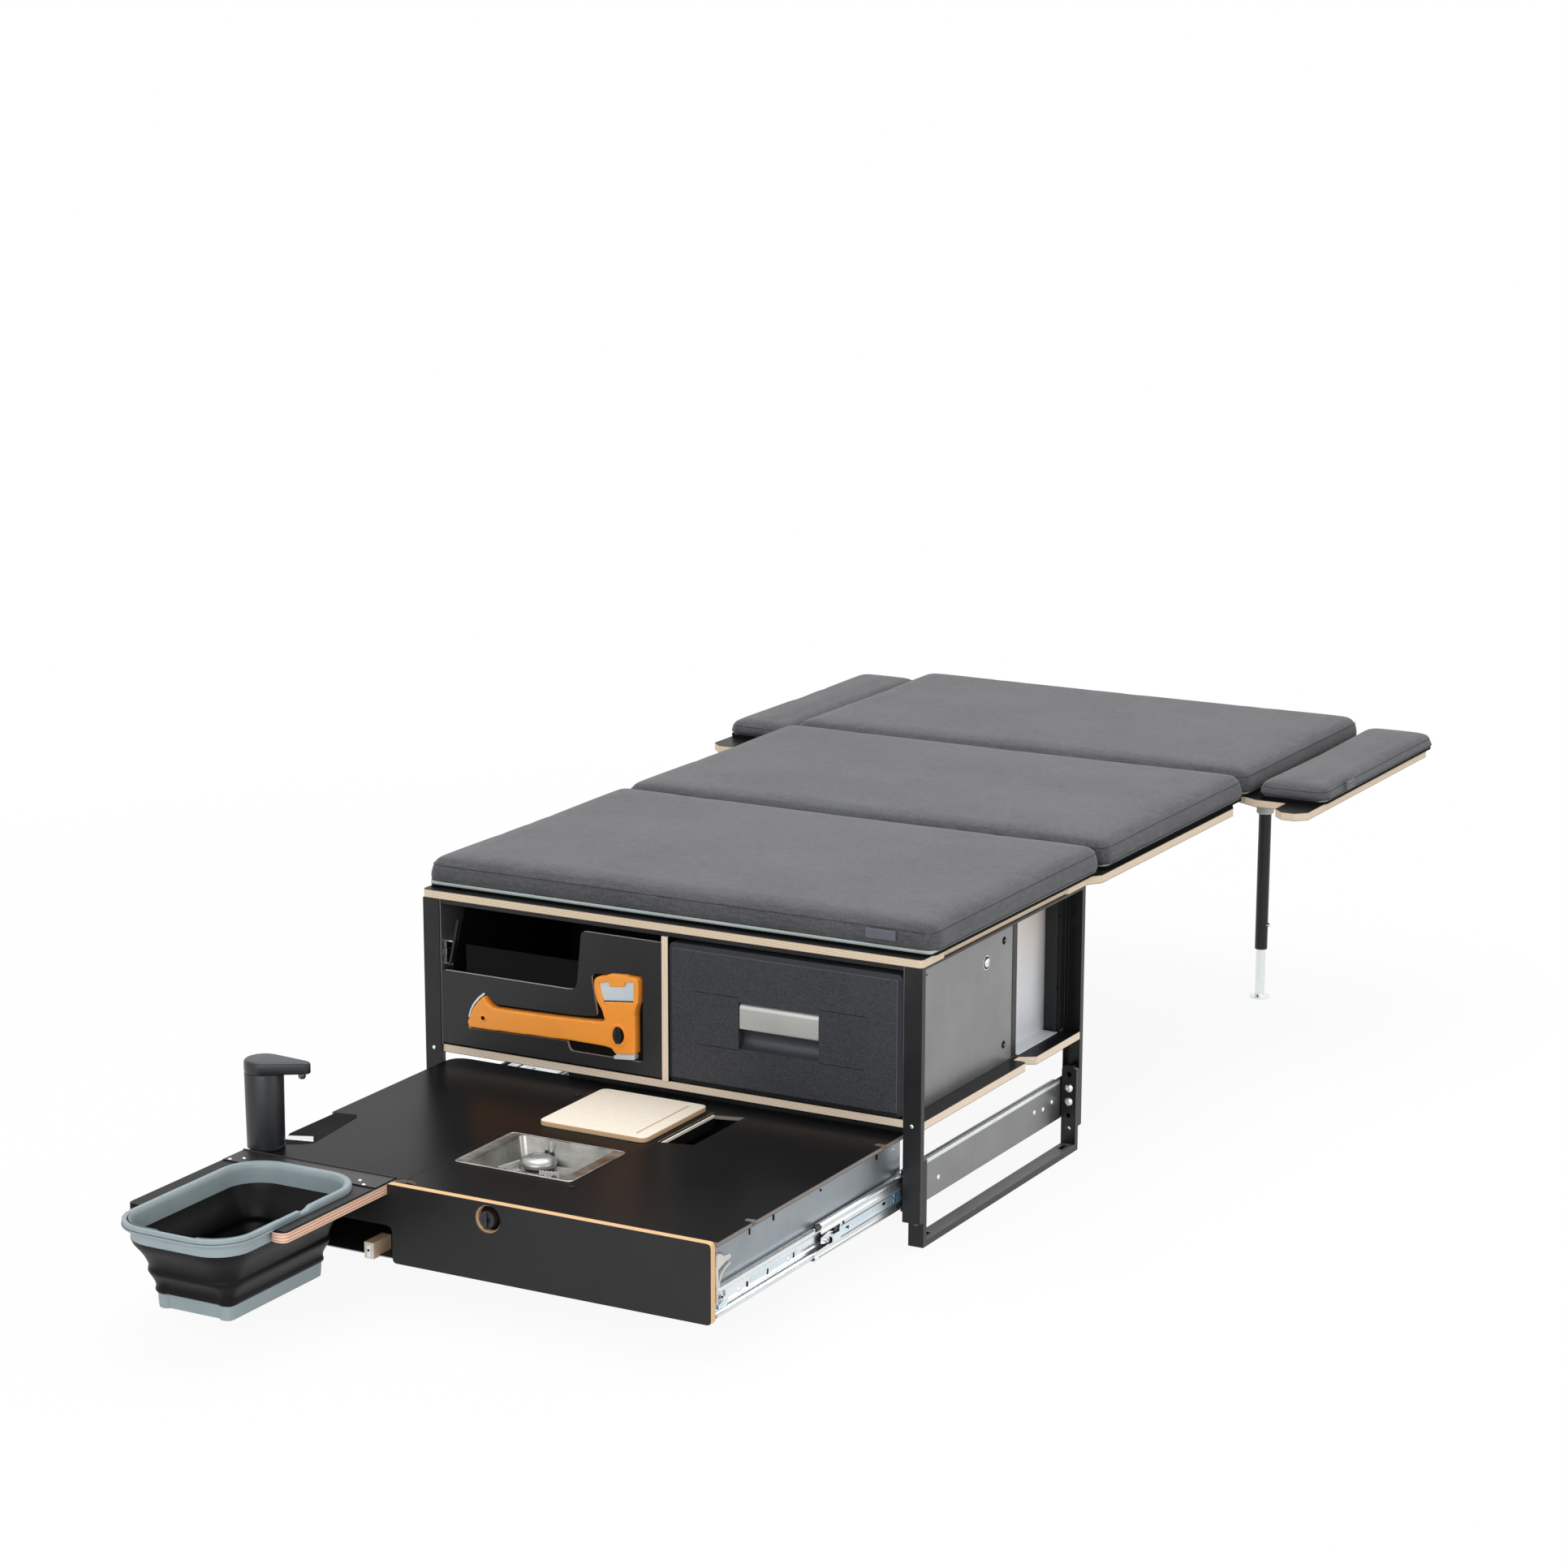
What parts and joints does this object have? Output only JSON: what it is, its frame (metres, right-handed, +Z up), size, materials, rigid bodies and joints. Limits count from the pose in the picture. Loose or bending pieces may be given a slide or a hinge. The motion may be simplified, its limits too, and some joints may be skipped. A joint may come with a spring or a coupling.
{
  "type": "camping box",
  "caption": "Camping box for a car boot: pull-out kitchen, tool drawer and fridge drawer under a fold-out bed with cushions and folding legs.",
  "frame": {"origin": "middle of the underside of the whole object's box, on the ground", "axes": "+X to the right seen from the kitchen end, +Y from the kitchen end to the head of the bed, +Z up"},
  "size_m": [1.3014, 2.9508, 0.547],
  "materials": {
    "steel_black": "satin black powder coat",
    "panel_grey": "satin dark grey powder coat",
    "zinc": "bright zinc plating",
    "blue_grey": "blue-grey plated sheet",
    "plywood": "birch plywood with black film faces",
    "black_board": "black film-faced plywood",
    "black_plastic": "matt black plastic",
    "fridge_plastic": "fine-grained black plastic",
    "bright_steel": "brushed stainless steel",
    "orange_plastic": "orange glass-filled plastic",
    "rim_grey": "grey plastic",
    "bellows": "black soft rubber",
    "cushion": "dark grey woven cover over foam"
  },
  "bodies": {
    "box_frame": {"left_side_frame": "steel_black", "right_side_frame": "steel_black", "left_foot_frame": "steel_black", "right_foot_frame": "steel_black", "left_side_panel": "panel_grey", "right_side_panel": "panel_grey", "left_slide_plate": "panel_grey", "right_slide_plate": "panel_grey", "left_slide_outer": "zinc", "right_slide_outer": "zinc", "left_tool_runner": "zinc", "right_tool_runner": "zinc", "top_frame": "steel_black", "top_board": "plywood", "shelf_board": "plywood", "divider_board": "plywood", "fridge_cabinet": "fridge_plastic"},
    "kitchen_drawer": {"kitchen_tray": "blue_grey", "kitchen_front_panel": "black_board", "left_table_plate": "black_board", "centre_table_plate": "black_board", "right_table_plate": "black_board", "stove_tray": "bright_steel", "burner": "bright_steel", "pan_support": "bright_steel", "left_slide_inner": "zinc", "right_slide_inner": "zinc"},
    "left_runner": {"left_slide_mid": "zinc"},
    "right_runner": {"right_slide_mid": "zinc"},
    "gas_knob": {"gas_knob": "black_plastic"},
    "chopping_board": {"chopping_board": "plywood"},
    "tap": {"tap": "black_plastic"},
    "sink_fork": {"sink_fork": "black_board"},
    "bucket": {"bucket_rim": "rim_grey", "bucket_body": "bellows"},
    "bucket_handle": {"bucket_handle": "rim_grey"},
    "tool_drawer": {"tool_drawer_front": "black_board", "tool_drawer_box": "steel_black"},
    "axe": {"axe_handle": "orange_plastic", "axe_head": "bright_steel", "axe_sheath": "orange_plastic"},
    "axe_knob": {"axe_knob": "black_plastic"},
    "fridge_drawer": {"fridge_front": "fridge_plastic", "fridge_bin": "fridge_plastic"},
    "fridge_handle": {"fridge_handle": "bright_steel"},
    "mid_bed": {"mid_board": "plywood"},
    "head_bed": {"head_board": "plywood", "left_leg_bracket": "steel_black", "right_leg_bracket": "steel_black"},
    "left_wing": {"left_wing_board": "plywood"},
    "right_wing": {"right_wing_board": "plywood"},
    "left_leg": {"left_leg": "steel_black"},
    "right_leg": {"right_leg": "steel_black"},
    "left_leg_foot": {"left_leg_foot": "zinc"},
    "right_leg_foot": {"right_leg_foot": "zinc"},
    "front_cushion": {"front_cushion": "cushion"},
    "mid_cushion": {"mid_cushion": "cushion"},
    "head_cushion": {"head_cushion": "cushion"},
    "left_wing_cushion": {"left_wing_cushion": "cushion"},
    "right_wing_cushion": {"right_wing_cushion": "cushion"}
  },
  "joints": [
    {"name": "kitchen_slide", "type": "slide", "parent": "box_frame", "child": "kitchen_drawer", "axis": [0, -1, 0], "range_m": [-0.45, 0]},
    {"name": "left_runner_slide", "type": "slide", "parent": "box_frame", "child": "left_runner", "axis": [0, -1, 0], "range_m": [-0.23, 0]},
    {"name": "right_runner_slide", "type": "slide", "parent": "box_frame", "child": "right_runner", "axis": [0, -1, 0], "range_m": [-0.23, 0]},
    {"name": "gas_knob_turn", "type": "hinge", "parent": "kitchen_drawer", "child": "gas_knob", "pos_m": [0.04, -1.07535, 0.163], "axis": [0, -1, 0], "range_deg": [0, 270]},
    {"name": "chopping_board_lift", "type": "slide", "parent": "kitchen_drawer", "child": "chopping_board", "axis": [0, 0, 1], "range_m": [0, 0.018]},
    {"name": "tap_turn", "type": "hinge", "parent": "kitchen_drawer", "child": "tap", "pos_m": [-0.43, -1.01835, 0.19], "axis": [0, 0, 1], "range_deg": [-104, 76]},
    {"name": "fork_fold", "type": "hinge", "parent": "kitchen_drawer", "child": "sink_fork", "pos_m": [0, -1.05435, 0.19], "axis": [-1, 0, 0], "range_deg": [0, 90]},
    {"name": "bucket_lift", "type": "slide", "parent": "sink_fork", "child": "bucket", "axis": [0, 0, 1], "range_m": [0, 0.15]},
    {"name": "bucket_handle_swing", "type": "hinge", "parent": "bucket", "child": "bucket_handle", "pos_m": [-0.2885, -1.28735, 0.1985], "axis": [-1, 0, 0], "range_deg": [0, 90]},
    {"name": "tool_drawer_slide", "type": "slide", "parent": "box_frame", "child": "tool_drawer", "axis": [0, -1, 0], "range_m": [0, 0.35]},
    {"name": "axe_pull", "type": "slide", "parent": "tool_drawer", "child": "axe", "axis": [0, -1, 0], "range_m": [0, 0.05]},
    {"name": "axe_knob_turn", "type": "hinge", "parent": "axe", "child": "axe_knob", "pos_m": [-0.088, -0.46935, 0.288], "axis": [0, -1, 0], "range_deg": [0, 90]},
    {"name": "fridge_slide", "type": "slide", "parent": "box_frame", "child": "fridge_drawer", "axis": [0, -1, 0], "range_m": [0, 0.34]},
    {"name": "fridge_handle_tilt", "type": "hinge", "parent": "fridge_drawer", "child": "fridge_handle", "pos_m": [0.221, -0.46135, 0.371], "axis": [-1, 0, 0], "range_deg": [0, 12], "stiffness_Nm_per_rad": 0.4},
    {"name": "mid_board_hinge", "type": "hinge", "parent": "box_frame", "child": "mid_bed", "pos_m": [0, 0.16695, 0.495], "axis": [1, 0, 0], "range_deg": [0, 5]},
    {"name": "head_board_hinge", "type": "hinge", "parent": "mid_bed", "child": "head_bed", "pos_m": [0, 0.81595, 0.495], "axis": [1, 0, 0], "range_deg": [0, 5]},
    {"name": "left_wing_slide", "type": "slide", "parent": "head_bed", "child": "left_wing", "axis": [-1, 0, 0], "range_m": [0, 0.08]},
    {"name": "right_wing_slide", "type": "slide", "parent": "head_bed", "child": "right_wing", "axis": [1, 0, 0], "range_m": [0, 0.08]},
    {"name": "left_leg_fold", "type": "hinge", "parent": "head_bed", "child": "left_leg", "pos_m": [-0.385, 1.23265, 0.45], "axis": [-1, 0, 0], "range_deg": [0, 90]},
    {"name": "left_foot_slide", "type": "slide", "parent": "left_leg", "child": "left_leg_foot", "axis": [0, 0, -1], "range_m": [0, 0.06]},
    {"name": "right_leg_fold", "type": "hinge", "parent": "head_bed", "child": "right_leg", "pos_m": [0.385, 1.23265, 0.45], "axis": [-1, 0, 0], "range_deg": [0, 90]},
    {"name": "right_foot_slide", "type": "slide", "parent": "right_leg", "child": "right_leg_foot", "axis": [0, 0, -1], "range_m": [0, 0.06]},
    {"name": "front_cushion_lift", "type": "slide", "parent": "box_frame", "child": "front_cushion", "axis": [0, 0, 1], "range_m": [0, 0.0042]},
    {"name": "mid_cushion_lift", "type": "slide", "parent": "mid_bed", "child": "mid_cushion", "axis": [0, 0, 1], "range_m": [0, 0.0042]},
    {"name": "head_cushion_lift", "type": "slide", "parent": "head_bed", "child": "head_cushion", "axis": [0, 0, 1], "range_m": [0, 0.15]},
    {"name": "left_wing_cushion_lift", "type": "slide", "parent": "left_wing", "child": "left_wing_cushion", "axis": [0, 0, 1], "range_m": [0, 0.15]},
    {"name": "right_wing_cushion_lift", "type": "slide", "parent": "right_wing", "child": "right_wing_cushion", "axis": [0, 0, 1], "range_m": [0, 0.15]}
  ],
  "couplings": [
    {"joint": "left_runner_slide", "follows": "kitchen_slide", "ratio": 0.5},
    {"joint": "right_runner_slide", "follows": "kitchen_slide", "ratio": 0.5},
    {"joint": "front_cushion_lift", "follows": "mid_board_hinge", "m_per_rad": 0.048},
    {"joint": "mid_cushion_lift", "follows": "head_board_hinge", "m_per_rad": 0.048}
  ]
}
